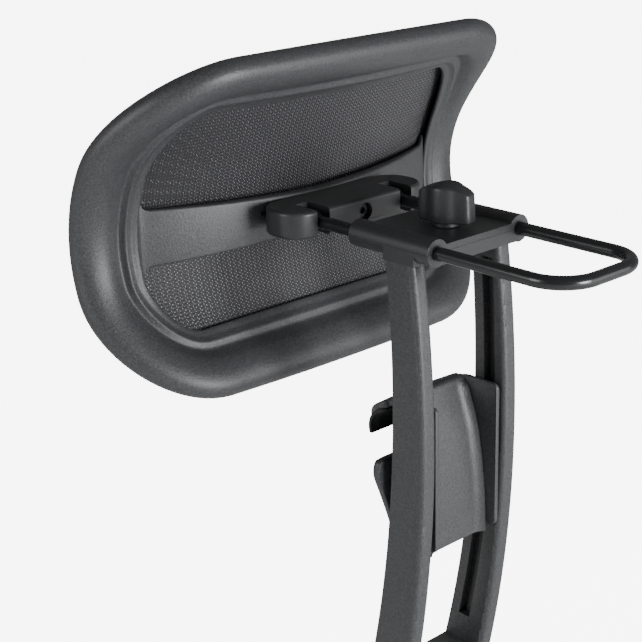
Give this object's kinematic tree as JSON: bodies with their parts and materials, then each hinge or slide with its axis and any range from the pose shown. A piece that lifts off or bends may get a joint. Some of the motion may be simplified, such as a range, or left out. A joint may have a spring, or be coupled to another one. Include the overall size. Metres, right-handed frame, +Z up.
{
  "type": "chair headrest attachment",
  "caption": "Headrest for an office chair: a mesh panel in a saddle-shaped frame on a sliding U-rod, clamped to two posts that slide in a saddle on the chair's top rail.",
  "frame": {"origin": "middle of the rubber pad face that rests on the rear of the chair's back, below the hook", "axes": "+X lateral to the sitter's left; +Y to the rear along the rod's legs; +Z up along the posts"},
  "size_m": [0.322, 0.2798, 0.4132],
  "materials": {
    "frame_plastic": "fine spark-eroded grain, charcoal",
    "clamp_plastic": "smooth satin, near black",
    "knob_plastic": "smooth satin, near black",
    "bush_plastic": "low-friction acetal, black",
    "rod_steel": "black oxide, satin gloss",
    "fastener_steel": "black zinc",
    "pin_steel": "ground",
    "pad_rubber": "matt",
    "mesh_textile": "open woven elastomer mesh"
  },
  "bodies": {
    "saddle": {"saddle_base": "frame_plastic", "saddle_cover": "frame_plastic", "rail_pad": "pad_rubber", "back_pad": "pad_rubber", "guide_shoe_left": "bush_plastic", "guide_shoe_right": "bush_plastic", "saddle_screws": "fastener_steel", "shoe_screws": "fastener_steel"},
    "carriage": {"post_left": "frame_plastic", "post_right": "frame_plastic", "friction_strip_left": "bush_plastic", "friction_strip_right": "bush_plastic", "bottom_bridge": "frame_plastic", "bridge_screws": "fastener_steel", "clamp_upper": "clamp_plastic", "clamp_lower": "clamp_plastic", "clamp_nut": "fastener_steel", "rod_liners": "bush_plastic", "post_screws": "fastener_steel"},
    "knob": {"knob": "knob_plastic", "knob_stud": "fastener_steel", "knob_washer": "knob_plastic"},
    "rod": {"u_rod": "rod_steel", "rod_eyes": "rod_steel"},
    "headrest": {"headrest_frame": "frame_plastic", "mesh_carrier": "clamp_plastic", "headrest_mesh": "mesh_textile", "pivot_housing": "clamp_plastic", "pivot_pins": "pin_steel", "friction_washers": "bush_plastic", "tension_screw": "fastener_steel", "tension_nut": "fastener_steel", "housing_screws": "fastener_steel"}
  },
  "joints": [
    {"name": "height", "type": "hinge", "parent": "saddle", "child": "carriage", "pos_m": [0, -0.8105, 0.05], "axis": [1, 0, 0], "range_deg": [-3.4, 4.4]},
    {"name": "depth", "type": "slide", "parent": "carriage", "child": "rod", "axis": [0, 1, 0], "range_m": [-0.05, 0.008]},
    {"name": "tilt", "type": "hinge", "parent": "rod", "child": "headrest", "pos_m": [0, -0.06, 0.145], "axis": [1, 0, 0], "range_deg": [-25, 4]},
    {"name": "knob_turn", "type": "hinge", "parent": "carriage", "child": "knob", "pos_m": [0, 0.019, 0.16], "axis": [0, 0, 1], "range_deg": [0, 180]}
  ]
}
